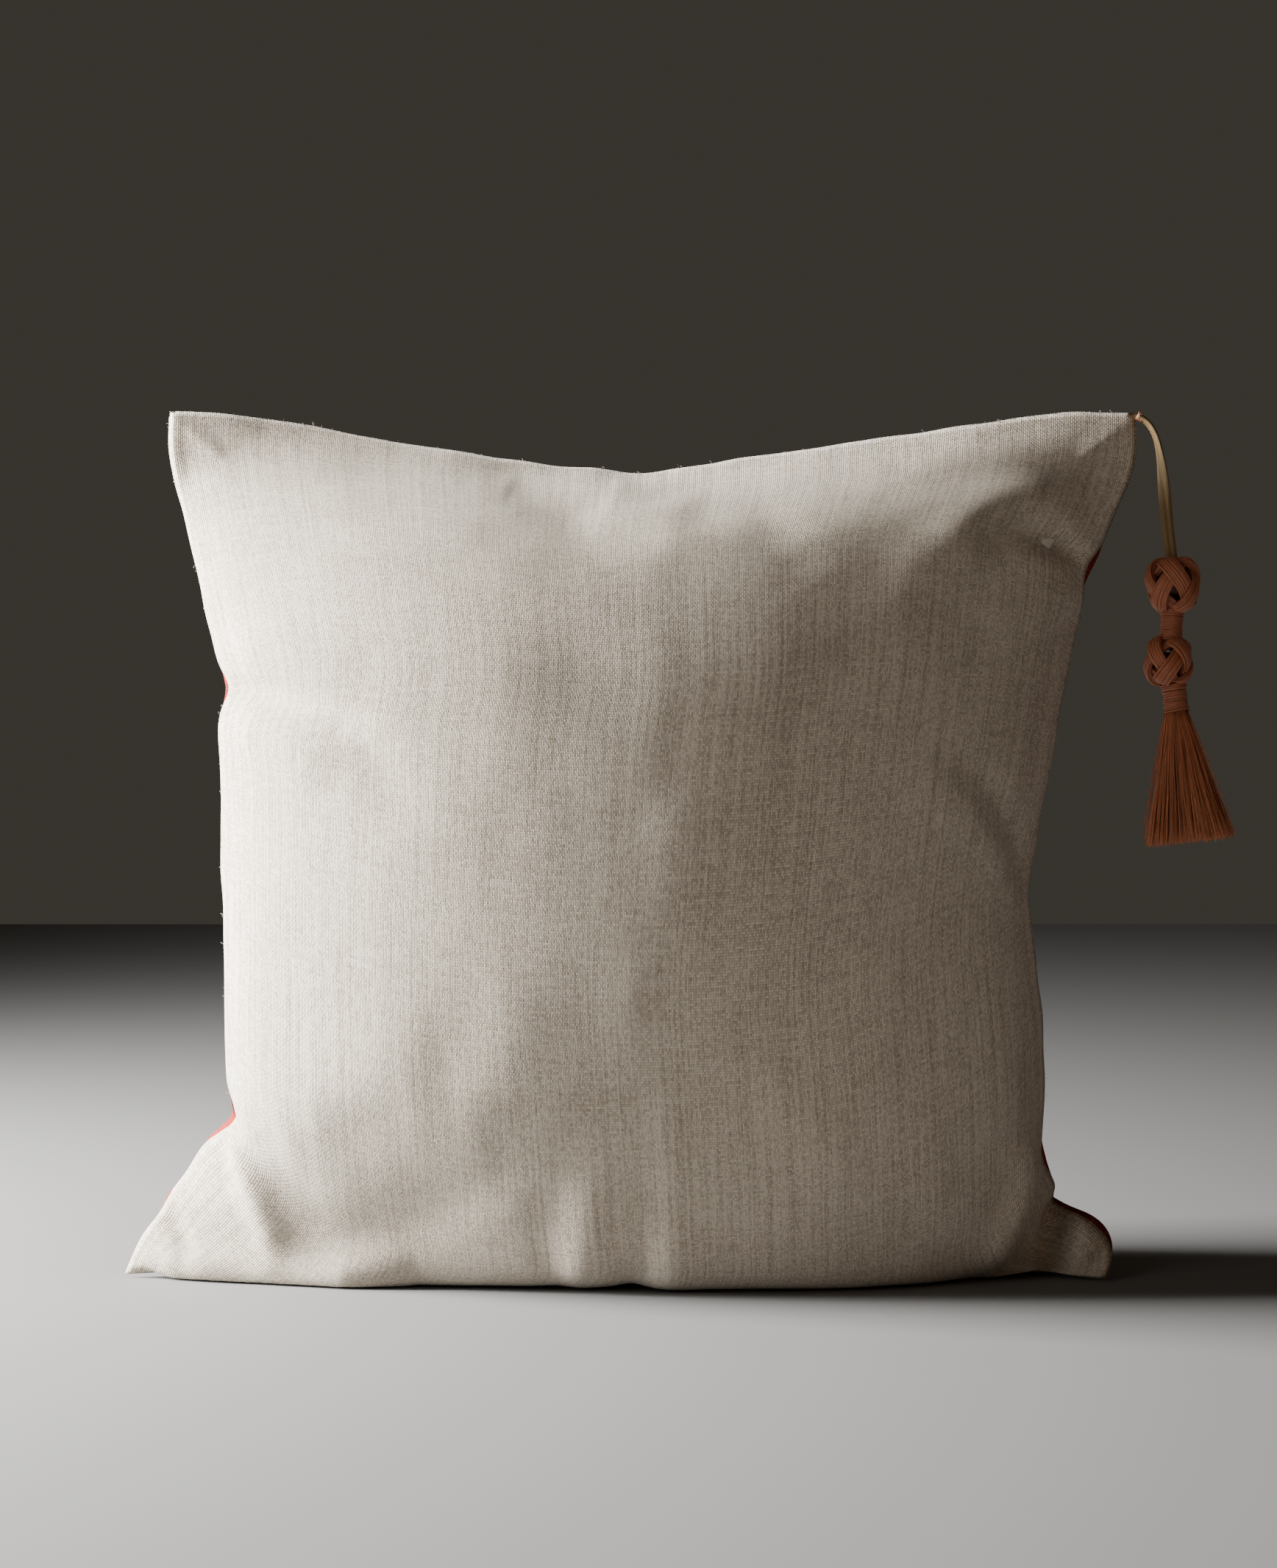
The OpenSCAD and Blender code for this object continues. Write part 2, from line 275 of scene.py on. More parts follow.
SEAM_BASE = [(-0.229, 0.004, -0.006), (-0.205, 0.005, -0.004), (-0.17, 0.009, 0), (-0.08, 0.009, 0),
             (0.0, 0.009, 0), (0.08, 0.009, 0), (0.16, 0.009, 0), (0.188, 0.005, -0.01),
             (0.212, 0.0045, -0.018)]


def along(points, count):
    """count + 1 places evenly spaced along a path whose corners are rounded by three averaging turns."""
    path = np.array([(x, y, z) for x, z, y in points])
    run = run_of(path)
    fine = np.linspace(0, run[-1], 40 * count + 1)
    dense = at_run(fine, run, path)
    width = int(SEAM_ROUNDING / (fine[1] - fine[0]))
    at = np.arange(len(dense))
    for _ in range(3):
        total = np.cumsum(np.vstack([np.zeros((1, 3)), dense]), axis=0)
        low = np.clip(at - width // 2, 0, None)
        high = np.clip(at + width // 2 + 1, None, len(dense))
        reach = np.minimum(at - low, high - 1 - at)
        low, high = at - reach, at + reach + 1
        dense = (total[high] - total[low]) / (high - low)[:, None]
    return evenly(dense, count)


def seam_sheet(n):
    """A sheet of places spanned between the four seams, row by row from the base."""
    left, right = along(SEAM_LEFT, n)[::-1], along(SEAM_RIGHT, n)[::-1]
    base, top = along(SEAM_BASE, n), along(SEAM_TOP, n)
    s = np.linspace(0, 1, n + 1)[None, :, None]
    t = np.linspace(0, 1, n + 1)[:, None, None]
    corners = ((1 - s) * (1 - t) * base[0] + s * (1 - t) * base[-1] + (1 - s) * t * top[0] + s * t * top[-1])
    return ((1 - s) * left[:, None] + s * right[:, None] + (1 - t) * base[None] + t * top[None]) - corners


def start_shape(n):
    """Front and back sheets of the stuffed cushion before the cloth settles."""
    flat = seam_sheet(n)
    u = np.linspace(-1, 1, n + 1)[None, :]
    v = np.linspace(-1, 1, n + 1)[:, None]
    low = np.clip(-v, 0, 1)
    half_depth, high, dip, sunk = 0.076, 0.391, 0.027, 0.026
    across = (1 - np.abs(u) ** (2.4 + 3.2 * low)) ** 0.6
    crown = half_depth * across * np.cos(np.pi / 2 * v) ** np.where(v > 0, 0.8, 0.56)
    top = high - dip * (1 - u * u)
    belly = (top + sunk) * ((1 + np.sin(np.pi / 2 * v)) / 2) ** 1.12 - sunk
    height = flat[..., 2] + (1 - np.abs(u) ** (3 + 5 * low)) * (1 - np.abs(v) ** 6) * (belly - flat[..., 2])
    height = np.maximum(height, 0.0025)
    height[0], height[-1] = flat[0, :, 2], flat[-1, :, 2]
    sheets = []
    for side in (-1, 1):
        sheet = flat.copy()
        sheet[..., 1] += side * crown
        sheet[..., 2] = height
        sheets.append(sheet)
    return sheets


def sewn(name, n, front, back):
    """One closed mesh of two sheets that share their rims; returns it and the back sheet's indices."""
    index = np.arange((n + 1) ** 2).reshape(n + 1, n + 1)
    behind = index.copy()
    behind[1:n, 1:n] = (n + 1) ** 2 + np.arange((n - 1) ** 2).reshape(n - 1, n - 1)
    places = np.vstack([front.reshape(-1, 3), back[1:n, 1:n].reshape(-1, 3)])
    faces = []
    for j in range(n):
        for i in range(n):
            faces.append([index[j, i], index[j, i + 1], index[j + 1, i + 1], index[j + 1, i]])
            faces.append([behind[j, i], behind[j + 1, i], behind[j + 1, i + 1], behind[j, i + 1]])
    mesh = bpy.data.meshes.new(name)
    mesh.from_pydata(places.tolist(), [], [[int(k) for k in f] for f in faces])
    piece = bpy.data.objects.new(name, mesh)
    bpy.context.collection.objects.link(piece)
    return piece, index, behind


def settle_cloth(n, frames, pressure=6.0):
    """Both sheets after the flat cloth has swelled on a floor, with its sewn rim held on the seams."""
    front, back = start_shape(n)
    piece, index, behind = sewn("settling", n, front, back)
    piece.shape_key_add(name="start")
    cut = piece.shape_key_add(name="cut")
    across, up = np.meshgrid(np.linspace(-CUT / 2, CUT / 2, n + 1), np.linspace(0, CUT, n + 1))
    flat = np.zeros((len(piece.data.vertices), 3))
    for at in (index, behind):
        flat[at.ravel()] = np.stack([across.ravel(), 0 * across.ravel(), up.ravel()], axis=1)
    cut.data.foreach_set("co", flat.ravel())
    rim = piece.vertex_groups.new(name="seam")
    edge = sorted({int(k) for k in np.concatenate([index[0], index[-1], index[:, 0], index[:, -1]])})
    rim.add(edge, 1.0, "REPLACE")
    bpy.ops.mesh.primitive_plane_add(size=2, location=(0, 0, 0))
    ground = bpy.context.object
    ground.modifiers.new("floor", "COLLISION")
    ground.collision.thickness_outer = 0.002
    ground.collision.cloth_friction = 5
    cloth = piece.modifiers.new("cloth", "CLOTH")
    s = cloth.settings
    s.quality = 8
    s.mass = 0.3
    s.tension_stiffness = s.compression_stiffness = 80
    s.shear_stiffness = 8
    s.bending_stiffness = 0.15
    s.tension_damping = s.compression_damping = 10
    s.shear_damping = 5
    s.bending_damping = 2
    s.air_damping = 3
    s.use_pressure = True
    s.uniform_pressure_force = pressure
    s.vertex_group_mass = "seam"
    s.rest_shape_key = cut
    s.effector_weights.gravity = 0.0
    cloth.collision_settings.use_collision = True
    cloth.collision_settings.distance_min = 0.001
    cloth.collision_settings.use_self_collision = False
    scene = bpy.context.scene
    count = (n + 1, n + 1, 3)
    cloth.point_cache.frame_start, cloth.point_cache.frame_end = 1, frames
    for at in range(1, frames + 1):
        scene.frame_set(at)
    settled = piece.evaluated_get(bpy.context.evaluated_depsgraph_get())
    places = np.zeros(len(piece.data.vertices) * 3)
    settled.data.vertices.foreach_get("co", places)
    scene.frame_set(1)
    bpy.data.objects.remove(piece)
    bpy.data.objects.remove(ground)
    places = places.reshape(-1, 3)
    return places[index.ravel()].reshape(count), places[behind.ravel()].reshape(count)


def finer(sheet):
    """The same sheet with twice the rows and columns, on rounded curves."""
    for axis in (0, 1):
        p = np.moveaxis(sheet, axis, 0)
        middle = (p[:-1] + p[1:]) / 2
        middle[1:-1] = (9 * (p[1:-2] + p[2:-1]) - p[:-3] - p[3:]) / 16
        out = np.empty((2 * len(p) - 1, *p.shape[1:]))
        out[::2], out[1::2] = p, middle
        sheet = np.moveaxis(out, 0, axis)
    return sheet


def outward(sheet, side):
    """The sheet's outward directions."""
    way = np.cross(np.gradient(sheet, axis=1), np.gradient(sheet, axis=0))
    way = way / np.maximum(np.linalg.norm(way, axis=2), 1e-9)[..., None]
    return way if way[..., 1].mean() * side > 0 else -way


# Folds of the linen face: the line it follows, across and up in metres, then how far the cloth
# stands out (below 0: a valley) and the fold's half width, at the line's start and at its end
LINEN_FOLDS = [
    ([(0.204, 0.325), (0.188, 0.333), (0.17, 0.336), (0.15, 0.322)], -0.0065, 0.005, -0.0015, 0.012),
    ([(0.196, 0.352), (0.17, 0.35), (0.146, 0.332), (0.122, 0.3), (0.108, 0.268)], 0.003, 0.01,
     0.0012, 0.02),
    ([(0.206, 0.31), (0.18, 0.302), (0.15, 0.29)], 0.003, 0.008, 0.0, 0.014),
    ([(0.176, 0.18), (0.17, 0.203), (0.154, 0.226), (0.13, 0.236)], -0.0034, 0.006, -0.0012, 0.01),
    ([(0.178, 0.165), (0.16, 0.195), (0.14, 0.216), (0.118, 0.24)], 0.0018, 0.008, 0.0008, 0.014),
    ([(-0.178, 0.2673), (-0.16, 0.262), (-0.138, 0.256), (-0.112, 0.24)], -0.006, 0.005, -0.001, 0.013),
    ([(-0.176, 0.285), (-0.15, 0.28), (-0.12, 0.262)], 0.0022, 0.009, 0.0006, 0.016),
    ([(-0.176, 0.246), (-0.152, 0.238), (-0.132, 0.224)], 0.0032, 0.008, 0.0012, 0.014),
    ([(-0.118, 0.243), (-0.106, 0.224), (-0.104, 0.196)], -0.0014, 0.009, -0.0006, 0.016),
    ([(-0.168, 0.07), (-0.156, 0.05), (-0.144, 0.032), (-0.134, 0.016)], -0.0024, 0.008, -0.001, 0.012),
    ([(-0.181, 0.066), (-0.175, 0.055), (-0.167, 0.038), (-0.161, 0.022), (-0.158, 0.006)], 0.0046, 0.006,
     0.0026, 0.008),
    ([(-0.184, 0.064), (-0.182, 0.052), (-0.18, 0.036)], -0.0026, 0.005, -0.0008, 0.008),
    ([(-0.212, 0.03), (-0.203, 0.02), (-0.199, 0.006)], -0.0024, 0.004, -0.0016, 0.005),
    ([(-0.06, 0.15), (-0.078, 0.104), (-0.11, 0.078), (-0.136, 0.052)], -0.0005, 0.018, -0.001, 0.014),
    ([(-0.04, 0.14), (-0.056, 0.096), (-0.07, 0.06), (-0.074, 0.02)], 0.0004, 0.016, 0.0005, 0.014),
    ([(-0.034, 0.004), (-0.036, 0.024), (-0.03, 0.06), (-0.026, 0.086)], -0.0012, 0.008, -0.0004, 0.012),
    ([(-0.022, 0.002), (-0.022, 0.026), (-0.018, 0.06)], 0.0012, 0.007, 0.0005, 0.012),
    ([(0.000, 0.002), (0.001, 0.016), (0.003, 0.036), (0.008, 0.06)], -0.0036, 0.007, -0.0004, 0.013),
    ([(0.02, 0.002), (0.02, 0.02), (0.015, 0.048)], 0.001, 0.009, 0.0006, 0.012),
    ([(0.014, 0.112), (0.036, 0.108), (0.058, 0.1), (0.08, 0.08), (0.09, 0.052), (0.098, 0.03)],
     0.0005, 0.007, 0.0008, 0.012),
    ([(0.068, 0.1), (0.094, 0.082), (0.112, 0.05), (0.128, 0.02)], -0.0006, 0.012, -0.0009, 0.014),
    ([(0.134, 0.105), (0.122, 0.07), (0.126, 0.036)], -0.0006, 0.014, -0.0008, 0.013),
    ([(0.179, 0.058), (0.173, 0.036), (0.164, 0.016), (0.156, 0.002)], 0.005, 0.006, 0.0036, 0.007),
    ([(0.1935, 0.032), (0.19, 0.02), (0.187, 0.003)], -0.003, 0.005, -0.003, 0.006),
    ([(-0.222, 0.003), (-0.204, 0.003), (-0.18, 0.004), (-0.15, 0.004), (-0.095, 0.004)], 0.01, 0.009,
     0.006, 0.013),
    ([(-0.15, 0.082), (-0.118, 0.092), (-0.08, 0.1)], 0.0016, 0.022, 0.001, 0.026),
    ([(-0.056, 0.36), (-0.034, 0.349), (-0.014, 0.338)], -0.0018, 0.009, -0.0012, 0.011),
    ([(-0.012, 0.356), (0.008, 0.348), (0.03, 0.336)], 0.0018, 0.013, 0.0006, 0.018),
    ([(0.06, 0.35), (0.064, 0.336), (0.08, 0.312)], -0.0008, 0.012, -0.0006, 0.016),
    ([(-0.19, 0.378), (-0.14, 0.372), (-0.09, 0.36)], -0.0012, 0.01, -0.0008, 0.012)]
CORNER_FOLDS = [                # folds that take both panels along
    ([(0.1945, 0.034), (0.192, 0.022), (0.189, 0.002)], -0.014, 0.006, -0.011, 0.006),
    ([(0.203, 0.026), (0.206, 0.01)], 0.004, 0.006, 0.004, 0.006)]
RED_FOLDS = [
    ([(-0.178, 0.2673), (-0.15, 0.258), (-0.12, 0.252)], -0.005, 0.006, -0.0008, 0.014),
    ([(0.204, 0.325), (0.18, 0.318), (0.15, 0.3)], -0.0055, 0.006, -0.0008, 0.014),
    ([(-0.174, 0.07), (-0.16, 0.05), (-0.146, 0.012)], -0.005, 0.007, -0.0024, 0.01),
    ([(0.186, 0.052), (0.172, 0.03), (0.16, 0.004)], -0.006, 0.006, -0.004, 0.008),
    ([(-0.06, 0.000), (-0.052, 0.04), (-0.03, 0.09)], -0.003, 0.008, -0.0004, 0.016),
    ([(0.05, 0.000), (0.056, 0.03), (0.05, 0.08)], -0.0026, 0.008, -0.0004, 0.016),
    ([(-0.11, 0.3), (-0.06, 0.262), (-0.01, 0.25)], 0.0016, 0.02, 0.0008, 0.026),
    ([(0.11, 0.19), (0.06, 0.15), (0.02, 0.11)], -0.0018, 0.018, -0.0008, 0.024),
    ([(0.03, 0.356), (0.006, 0.34), (-0.02, 0.322)], -0.0026, 0.01, -0.0008, 0.014)]


def pressed(sheet, folds):
    """How far each place of the sheet moves out for the folds."""
    rise = np.zeros(sheet.shape[:2])
    x, z = sheet[..., 0], sheet[..., 2]
    for line, high, wide, high_end, wide_end in folds:
        line = smooth_route([(a, 0, b) for a, b in line], 24)[:, (0, 2)]
        best = np.full(rise.shape, 1e9)
        along_line = np.zeros(rise.shape)
        for k in range(len(line) - 1):
            a, b = line[k], line[k + 1]
            d = b - a
            t = np.clip(((x - a[0]) * d[0] + (z - a[1]) * d[1]) / (d @ d), 0, 1)
            away = np.hypot(x - a[0] - t * d[0], z - a[1] - t * d[1])
            nearer = away < best
            best = np.where(nearer, away, best)
            along_line = np.where(nearer, (k + t) / (len(line) - 1), along_line)
        width = wide + (wide_end - wide) * along_line
        height = high + (high_end - high) * along_line
        ends = np.clip((1 - along_line) * 4, 0, 1) * np.clip(0.5 + along_line * 4, 0, 1)
        rise += height * ends * np.exp(-(best / width) ** 2)
    return rise


def wander(count, step, seed):
    """Smooth random values between -1 and 1, one for each of count places, changing every few steps."""
    draw = random.Random(seed)
    knots = int(count / step) + 3
    values = [draw.uniform(-1, 1) for _ in range(knots)]
    at = np.linspace(0, knots - 1.001, count)
    low = at.astype(int)
    t = at - low
    t = t * t * (3 - 2 * t)
    values = np.array(values + [0.0])
    return values[low] * (1 - t) + values[low + 1] * t


def puckers(n, seed):
    """Small gathers that run in from each seam and fade out."""
    cell = CUT / n
    i = np.arange(n + 1) * cell
    out = np.zeros((n + 1, n + 1))
    for side, far in enumerate((i, i[::-1])):
        for axis in (0, 1):
            for step, size, reach in ((5, 0.00045, 0.007), (13, 0.0008, 0.02)):
                wave = wander(n + 1, step * n / 200, seed + 10 * side + axis + step)
                fade = np.exp(-far / reach) * (1 - np.exp(-far / 0.0015))
                part = np.outer(fade, wave) if axis == 0 else np.outer(wave, fade)
                out += size * part
    return out


def smooth_step(low, high, t):
    s = np.clip((t - low) / (high - low), 0, 1)
    return s * s * (3 - 2 * s)


def eased(sheet, turns):
    """The sheet with its smallest crumples taken out; the rim stays."""
    for _ in range(turns):
        around = (sheet[:-2, 1:-1] + sheet[2:, 1:-1] + sheet[1:-1, :-2] + sheet[1:-1, 2:]) / 4
        sheet = sheet.copy()
        sheet[1:-1, 1:-1] += 0.6 * (around - sheet[1:-1, 1:-1])
    return sheet


def from_rim(n):
    """How far each place of a panel is from its nearest edge and its nearest corner, in metres of cloth."""
    away = np.minimum(np.arange(n + 1), n - np.arange(n + 1)) * CUT / n
    return np.minimum.outer(away, away), np.hypot.outer(away, away)


def paired(front, back):
    """Both sheets finer, kept apart, flat together at the corners, tucked under and down on the floor."""
    front, back = finer(eased(front, 10)), finer(eased(back, 10))
    rim, corner = from_rim(len(front) - 1)
    together = np.exp(-(corner / 0.016) ** 2)[..., None]
    middle = (front + back) / 2
    gap = 0.0016 + 0.01 * smooth_step(0.0, 0.03, rim)
    floor_drop = 0.0024             # the settled cloth rests this far above the floor
    thin = 1 - 0.5 * np.exp(-(corner / 0.05) ** 2) * smooth_step(0.25, 0.33, middle[..., 2])
    sheets = []
    for side, sheet in ((-1, front), (1, back)):
        sheet = sheet.copy()
        sheet[..., (0, 2)] += together * (middle - sheet)[..., (0, 2)]
        sheet[..., 1] = middle[..., 1] + side * np.maximum(side * thin * (sheet - middle)[..., 1],
                                                           np.where(rim > 0, gap / 2, 0))
        sheet[..., 2] -= floor_drop * smooth_step(0.03, 0.003, sheet[..., 2])
        tuck = 0.08 + 0.24 * smooth_step(0.02, -0.1, sheet[..., 0])
        tuck = tuck * smooth_step(0.095, 0.0, sheet[..., 2])
        sheet[..., 1] -= pressed(middle, CORNER_FOLDS) + tuck * (sheet - middle)[..., 1]
        sheets.append(sheet)
    return sheets


# Where the red shows past the linen edge: the seam, how high or how far across, over what length, by how much
RED_SLIVERS = [(LEFT, 0.2673, 0.009, 0.0022), (LEFT, 0.0715, 0.012, 0.0032), (LEFT, 0.035, 0.008, 0.0014),
               (LEFT, 0.205, 0.01, 0.0008), (RIGHT, 0.323, 0.01, 0.003), (RIGHT, 0.0531, 0.009, 0.0022),
               (RIGHT, 0.0235, 0.012, 0.0034), (RIGHT, 0.176, 0.007, 0.001), (BASE, -0.12, 0.055, 0.001),
               (BASE, 0.16, 0.03, 0.001)]


def seam_edge(sheet, side):
    """The linen's edge stands a little past the red one, except at the slivers."""
    n = len(sheet) - 1
    away = np.arange(n + 1) * CUT / n
    moved = sheet.copy()
    for seam, (edge, inner, axis, steps) in {
            LEFT: (sheet[:, 0], sheet[:, 2], 1, away), RIGHT: (sheet[:, -1], sheet[:, -3], 1, away[::-1]),
            BASE: (sheet[0], sheet[2], 0, away), TOP: (sheet[-1], sheet[-3], 0, away[::-1])}.items():
        out = (edge - inner) * np.array([1, 0, 1])
        out /= np.maximum(np.linalg.norm(out, axis=1), 1e-6)[:, None]
        reach = (0.0007 if side < 0 else -0.0006) + 0.0005 * wander(n + 1, 8, 300 + seam)
        if side > 0:
            for where, at, wide, past in RED_SLIVERS:
                if where == seam:
                    spot = edge[:, 2] if seam in (LEFT, RIGHT) else edge[:, 0]
                    reach = reach + (past + 0.0006) * np.exp(-((spot - at) / wide) ** 2)
        if seam == BASE:
            reach = reach * 0.3
        push = out * reach[:, None]
        push[:, 1] = side * 0.0004
        fade = np.exp(-steps / 0.0035)
        moved += push[:, None] * fade[None, :, None] if axis == 1 else push[None] * fade[:, None, None]
    return moved


def shaped_panel(sheet, middle, side, folds, seed):
    """The sheet with its folds, gathers and seams, apart from the other panel, the zip and the floor."""
    n = len(sheet) - 1
    rim, corner = from_rim(n)
    inside = smooth_step(0, 0.006, rim) * (1 - 0.8 * np.exp(-(corner / 0.02) ** 2))
    crumples = 0.0004 * np.outer(wander(n + 1, 9, seed + 77), wander(n + 1, 11, seed + 78))
    allowance = 0.00025 * np.exp(-((rim - 0.0035) / 0.0022) ** 2)
    rise = (pressed(sheet, folds) + puckers(n, seed)) * inside
    rise += crumples * inside
    rise += allowance * inside
    sheet = seam_edge(sheet + outward(sheet, side) * rise[..., None], side)
    clear = side * middle[..., 1] + 0.001 * smooth_step(0, 0.003, rim)
    sheet[..., 1] = np.where(rim > 0.001, side * np.maximum(side * sheet[..., 1], clear), sheet[..., 1])
    u, up = np.linspace(-1, 1, n + 1), np.arange(n + 1)[:, None] * CUT / n
    slot = ZIP_SLOT * (1 - smooth_step(0.82, 0.9, np.abs(u)))[None, :] * (1 - smooth_step(0, 0.016, up))
    open_by = side * np.maximum(side * sheet[..., 1] + 0.6 * slot, slot)
    sheet[..., 1] = np.where(slot > 0, open_by, sheet[..., 1])
    sheet[..., 2] = np.maximum(sheet[..., 2], LOWEST)
    return sheet


def panel_grid(sheet):
    """The sheet as a mesh whose cloth map is the flat panel, in metres."""
    n = len(sheet) - 1
    bm = bmesh.new()
    bmesh.ops.create_grid(bm, x_segments=n, y_segments=n, size=CUT / 2)
    bm.verts.index_update()
    layer = bm.loops.layers.uv.new("cloth")
    flat = [(v.co.x, v.co.y) for v in bm.verts]
    for face in bm.faces:
        for loop in face.loops:
            loop[layer].uv = flat[loop.vert.index]
    for v, (x, y) in zip(bm.verts, flat):
        v.co = sheet[round((y / CUT + 0.5) * n), round((x / CUT + 0.5) * n)]
    return bm


def turn_in_edges(bm, middle, side):
    """The panel's edges go in between the panels, or up beside the zip."""
    n = len(middle) - 1
    layer = bm.loops.layers.uv["cloth"]
    rim_edges = [e for e in bm.edges if e.is_boundary]
    spots = {v: v.link_loops[0][layer].uv.copy() for e in rim_edges for v in e.verts}
    turned = bmesh.ops.extrude_edge_only(bm, edges=rim_edges)
    for v in [g for g in turned["geom"] if isinstance(g, bmesh.types.BMVert)]:
        partner = next(e.other_vert(v) for e in v.link_edges if e.other_vert(v) in spots)
        i, j = (round((k / CUT + 0.5) * n) for k in spots[partner])
        if j == 0 and abs(2 * i / n - 1) < ZIP_REACH:
            v.co.z += TURNED_IN
        else:
            v.co = middle[min(max(j, 2), n - 2), min(max(i, 2), n - 2)]
            v.co.y += side * 0.0003
            v.co.z = max(v.co.z, LOWEST)


def cover_panel(name, node, sheet, middle, side, folds, seed, material):
    """One panel of the cover: a sheet of cloth with its folds, its gathers and its turned-in edges."""
    bm = panel_grid(shaped_panel(sheet, middle, side, folds, seed))
    turn_in_edges(bm, middle, side)
    bmesh.ops.recalc_face_normals(bm, faces=bm.faces[:])
    for face in bm.faces:
        face.smooth = True
    bm.normal_update()
    if sum(face.normal.y for face in bm.faces) * side < 0:
        bmesh.ops.reverse_faces(bm, faces=bm.faces[:])
    piece = piece_from(name, bm, material)
    wall = piece.modifiers.new("cloth_thickness", "SOLIDIFY")
    wall.thickness, wall.offset = PANEL_THICK, -1
    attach(piece, "cushion")
    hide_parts(node)


def weave_finish(name, light, dark, painted_hollow_shade, slub=1.0, sheen=0.2):
    """Plain-woven cloth: yarns over and under, uneven in thickness and tone, with painted shade darkening the
    hollows between the yarns.
    """
    f = Finish(name, Sheen_Weight=sheen, Sheen_Roughness=0.5, Specular_IOR_Level=0.25)
    place = f.cloth_map("cloth")
    across, up, _ = f.parts(place)
    across = across + (f.noise(place, 9.0, 2.0) - 0.5) * 0.0016
    up = up + (f.noise(f.stretch(place, (7.0, 7.0, 7.0)), 1.0, 2.0) - 0.5) * 0.0016
    x, y = across * (1 / YARN), up * (1 / YARN)
    over = ((x * math.pi).sine() * (y * math.pi).sine() * 1.6 + 0.5).clamped()
    warp_round = (x * math.pi).sine().maths("ABSOLUTE")
    weft_round = (y * math.pi).sine().maths("ABSOLUTE")
    warp_yarn, weft_yarn = x.maths("FLOOR"), y.maths("FLOOR")
    warp_tone = f.noise(f.joined(warp_yarn * 7.31, up * 30.0, 0.0), 1.0, 3.0, 0.62)
    weft_tone = f.noise(f.joined(across * 40.0, weft_yarn * 5.77, 4.0), 1.0, 3.0, 0.6)
    cell = f.joined(warp_yarn, weft_yarn, 0.0)
    speck = f.node("TexWhiteNoise", {"noise_dimensions": "2D"}, {"Vector": cell})
    band = f.noise(f.joined(across * 620.0, up * 7.0, 9.0), 1.0, 3.0, 0.6)
    cloud = f.noise(place, 26.0, 3.0)
    tone = over * (warp_tone * 1.5 - 0.16) + (1 - over) * (weft_tone * 1.3 - 0.14)
    tone = (tone - 0.5) * (1.15 * slub) + (speck - 0.5) * (0.75 * slub) + (band - 0.5) * (1.7 * slub)
    tone = tone + (cloud - 0.5) * 0.35 + 0.52
    crown = over * warp_round + (1 - over) * (weft_round * 0.55 + 0.4)
    colour = f.mix(tone.clamped(), dark, light)
    # painted shade: the colour is multiplied towards the hollow colour where the yarns dip between their
    # crowns
    f.feed("Base Color", f.mix((1 - crown) * 0.85, colour, painted_hollow_shade, "MULTIPLY"))
    f.feed("Roughness", 0.94 - crown * 0.12)
    f.bump(crown + (warp_tone + weft_tone) * 0.7 + speck * 0.35, 0.85, 0.00038)
    return f.material


def inner_sheet(sheet, middle, thinner):
    """The sheet drawn in towards the middle plane, raised clear of the zip and kept short of the corners."""
    place = middle + thinner * (sheet - middle)
    place[0], place[-1], place[:, 0], place[:, -1] = middle[0], middle[-1], middle[:, 0], middle[:, -1]
    place = (place - (0, 0, 0.19)) * (0.975, 1, 0.975) + (0, 0, 0.19)
    lowest = np.maximum(0.03 - np.abs(place[..., 1]), 0.006) + 0.06 * (0.9 - thinner)
    place[..., 2] = np.maximum(place[..., 2], lowest)
    for row in place:
        for end, part in ((row[0, 0], row[:, 0] < 0), (row[-1, 0], row[:, 0] > 0)):
            limit = 0.15 + 0.4 * max(row[0, 2] - 0.02, 0) - 0.03 * (0.84 - thinner)
            row[part, 0] *= min(1, limit / abs(end))
    return place


def inner_pieces(name, nodes, front, back, keep, thinner, material, joined):
    """The inner pad's casing or its filling, stuffed to the cover's shape and clear of the zip."""
    middle = ((front + back) / 2)[keep:-keep:2, keep:-keep:2]
    made = []
    for side, sheet in ((-1, front), (1, back)):
        place = inner_sheet(sheet[keep:-keep:2, keep:-keep:2], middle, thinner)
        rows, columns = np.array(place.shape[:2]) - 1
        bm = bmesh.new()
        bmesh.ops.create_grid(bm, x_segments=columns, y_segments=rows, size=0.5)
        for v in bm.verts:
            v.co = place[round((v.co.y + 0.5) * rows), round((v.co.x + 0.5) * columns)]
        if (side > 0) != (sum(face.normal.y for face in bm.faces) > 0):
            bmesh.ops.reverse_faces(bm, faces=bm.faces[:])
        made.append((bm, side))
    if joined:
        whole, other = made[0][0], made[1][0]
        spare = bpy.data.meshes.new("spare")
        other.to_mesh(spare)
        other.free()
        whole.from_mesh(spare)
        bpy.data.meshes.remove(spare)
        bmesh.ops.remove_doubles(whole, verts=whole.verts[:], dist=1e-5)
        bmesh.ops.recalc_face_normals(whole, faces=whole.faces[:])
        made = [(whole, 0)]
    for bm, side in made:
        for face in bm.faces:
            face.smooth = True
        piece = piece_from(name + {-1: "_front", 1: "_back", 0: ""}[side], bm, material)
        if side:
            wall = piece.modifiers.new("casing_thickness", "SOLIDIFY")
            wall.thickness, wall.offset = CASING_THICK, -1
        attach(piece, "cushion")
        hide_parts(nodes[0] if side < 1 else nodes[1])


def plain_cloth(name, colour, dark, thread):
    """Fine plain cotton with a barely visible weave."""
    f = Finish(name, Roughness=0.9, Sheen_Weight=0.2)
    x, _, z = f.parts(f.place())
    grid = x.wave(thread) * z.wave(thread) * 0.5 + 0.5
    soft = f.noise(f.place(), 90.0, 3.0)
    return f.coat(soft * 0.6 + grid * 0.4, dark, colour, grid * 0.5 + soft, 0.3, 0.0002)


